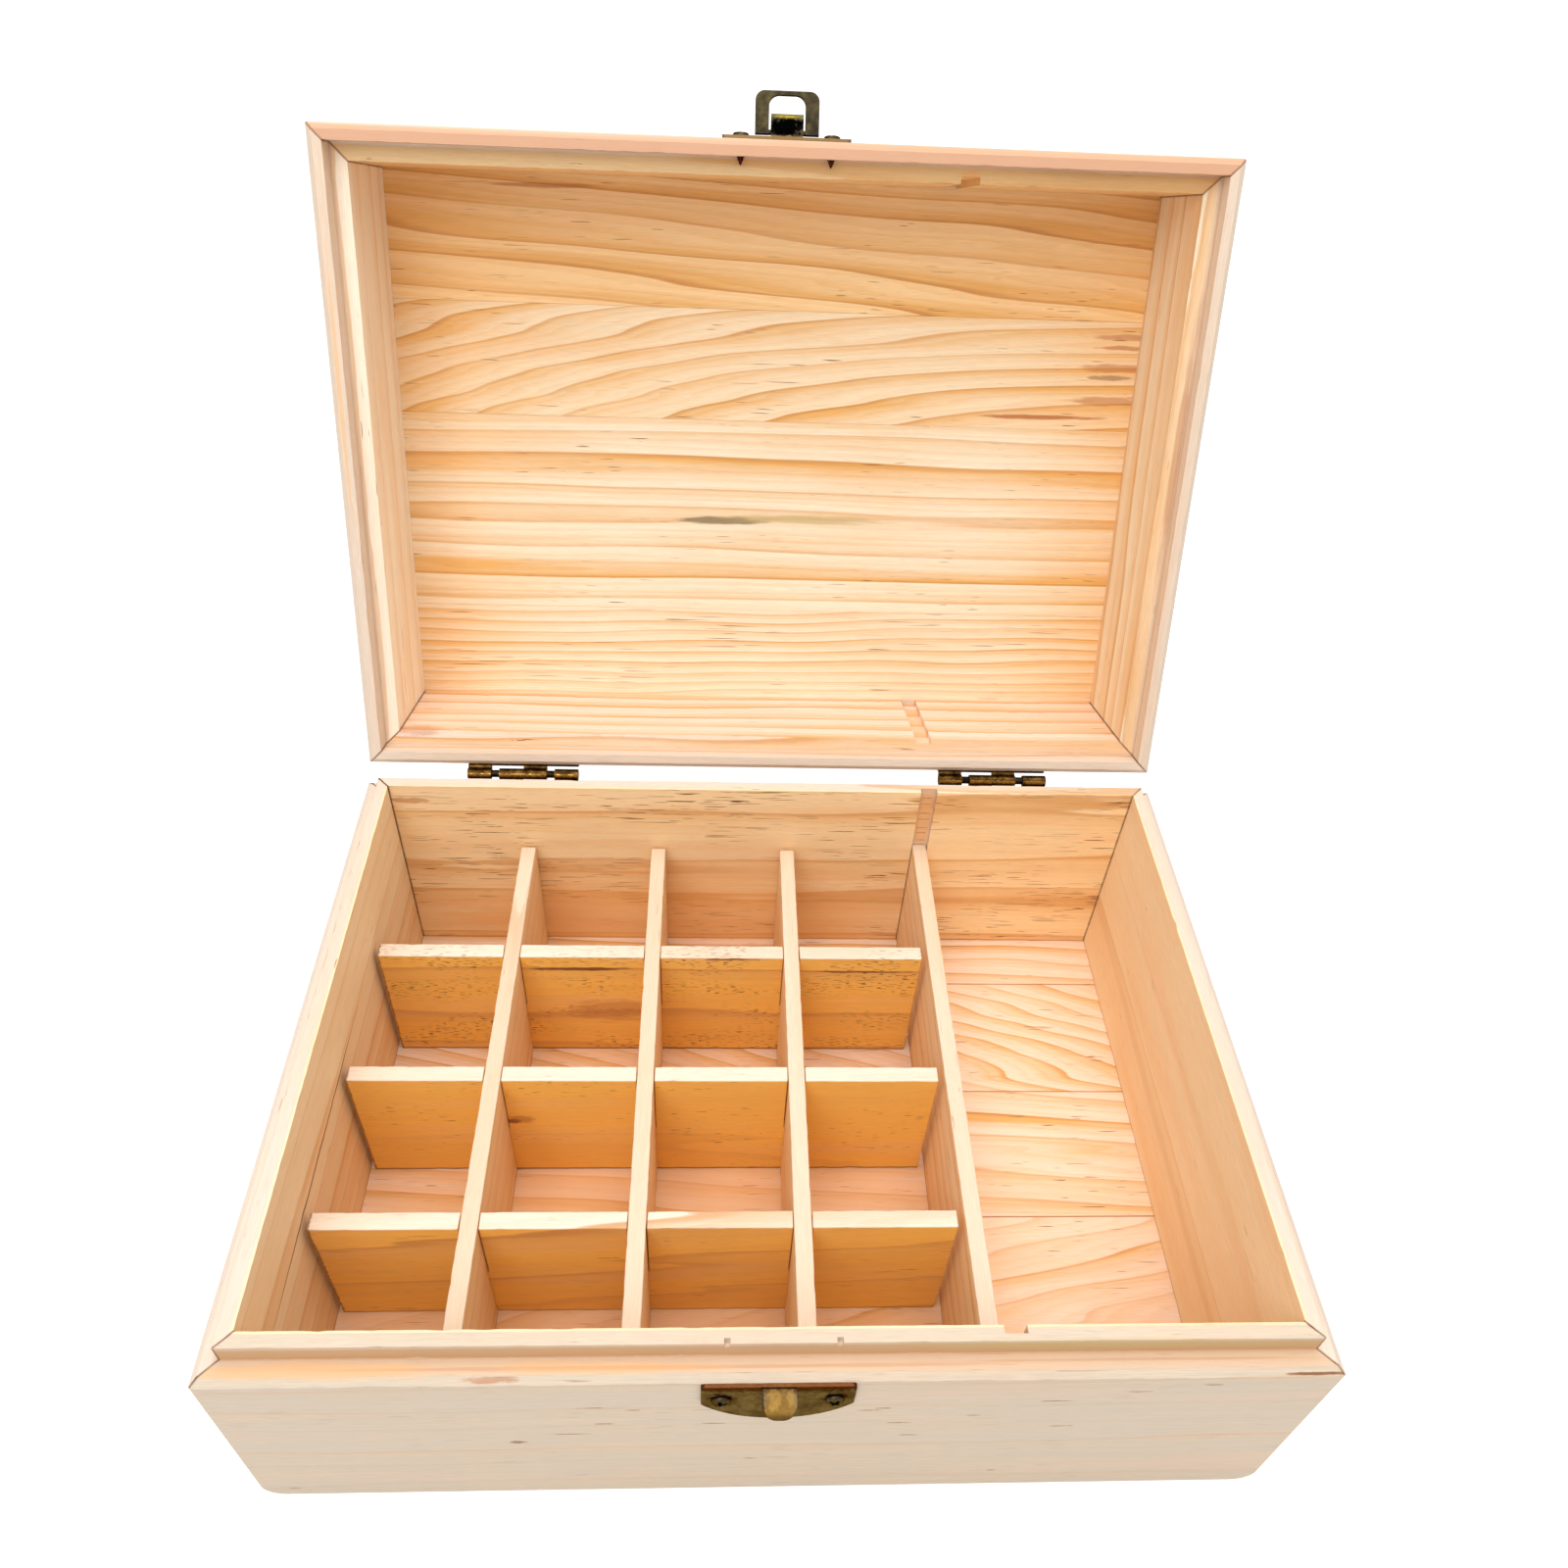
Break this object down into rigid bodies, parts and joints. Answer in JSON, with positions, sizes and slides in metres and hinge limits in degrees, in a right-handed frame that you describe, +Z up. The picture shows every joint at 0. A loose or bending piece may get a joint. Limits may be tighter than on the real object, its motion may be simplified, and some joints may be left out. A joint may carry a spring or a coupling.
{
  "type": "wooden storage box",
  "caption": "Hinged pine storage box with a lift-out divider grid, one long compartment and a small front hasp.",
  "frame": {"origin": "centre of the base's underside, the face that the box stands on", "axes": "+X right across the front, +Y back towards the hinges, +Z up"},
  "size_m": [0.24, 0.287, 0.2434],
  "materials": {
    "base_back_wall": "unfinished planed pine",
    "base_front_wall": "unfinished planed pine",
    "base_left_wall": "unfinished planed pine",
    "base_right_wall": "unfinished planed pine",
    "bronze_plate": "antique bronze plating on stamped brass, rubbed bright on edges",
    "divider": "unfinished planed pine",
    "floor_board": "unfinished planed pine",
    "latch_loop": "antique bronze plating on stamped brass, rubbed bright on edges",
    "lid_back_wall": "unfinished planed pine",
    "lid_board": "unfinished planed pine",
    "lid_front_wall": "unfinished planed pine",
    "lid_left_wall": "unfinished planed pine",
    "lid_right_wall": "unfinished planed pine",
    "pin": "dark drawn steel wire",
    "screw": "antique bronze plating on stamped brass, rubbed bright on edges"
  },
  "bodies": {
    "base": {"base_front_wall": "base_front_wall", "base_back_wall": "base_back_wall", "base_left_wall": "base_left_wall", "base_right_wall": "base_right_wall", "floor_board_1": "floor_board", "floor_board_2": "floor_board", "floor_board_3": "floor_board", "floor_board_4": "floor_board", "floor_board_5": "floor_board", "hinge_left_base_leaf": "bronze_plate", "hinge_left_pin": "pin", "hinge_right_base_leaf": "bronze_plate", "hinge_right_pin": "pin", "hinge_base_screws": "screw", "keeper_plate": "bronze_plate", "keeper_screws": "screw"},
    "lid": {"lid_front_wall": "lid_front_wall", "lid_back_wall": "lid_back_wall", "lid_left_wall": "lid_left_wall", "lid_right_wall": "lid_right_wall", "lid_board_1": "lid_board", "lid_board_2": "lid_board", "lid_board_3": "lid_board", "lid_board_4": "lid_board", "hinge_left_lid_leaf": "bronze_plate", "hinge_right_lid_leaf": "bronze_plate", "hinge_lid_screws": "screw", "latch_plate": "bronze_plate", "latch_screws": "screw"},
    "latch_loop": {"latch_loop": "latch_loop"},
    "long_divider": {"long_divider": "divider"},
    "divider_grid": {"cross_divider_1": "divider", "cross_divider_2": "divider", "cross_divider_3": "divider"},
    "lengthwise_divider_1": {"lengthwise_divider_1": "divider"},
    "lengthwise_divider_2": {"lengthwise_divider_2": "divider"},
    "lengthwise_divider_3": {"lengthwise_divider_3": "divider"}
  },
  "joints": [
    {"name": "lid_hinge", "type": "hinge", "parent": "base", "child": "lid", "pos_m": [0, 0.0897, 0.0689], "axis": [-1, 0, 0], "range_deg": [-110.5, 0]},
    {"name": "latch_swing", "type": "hinge", "parent": "lid", "child": "latch_loop", "pos_m": [0.0005, 0.15494, 0.23497], "axis": [-1, 0, 0], "range_deg": [-105, 70]},
    {"name": "long_divider_lift", "type": "slide", "parent": "base", "child": "long_divider", "axis": [0, 0, 1], "range_m": [0, 0.075]},
    {"name": "divider_grid_lift", "type": "slide", "parent": "base", "child": "divider_grid", "axis": [0, 0, 1], "range_m": [0, 0.075]},
    {"name": "lengthwise_divider_1_lift", "type": "slide", "parent": "divider_grid", "child": "lengthwise_divider_1", "axis": [0, 0, 1], "range_m": [0, 0.075]},
    {"name": "lengthwise_divider_2_lift", "type": "slide", "parent": "divider_grid", "child": "lengthwise_divider_2", "axis": [0, 0, 1], "range_m": [0, 0.075]},
    {"name": "lengthwise_divider_3_lift", "type": "slide", "parent": "divider_grid", "child": "lengthwise_divider_3", "axis": [0, 0, 1], "range_m": [0, 0.075]}
  ]
}
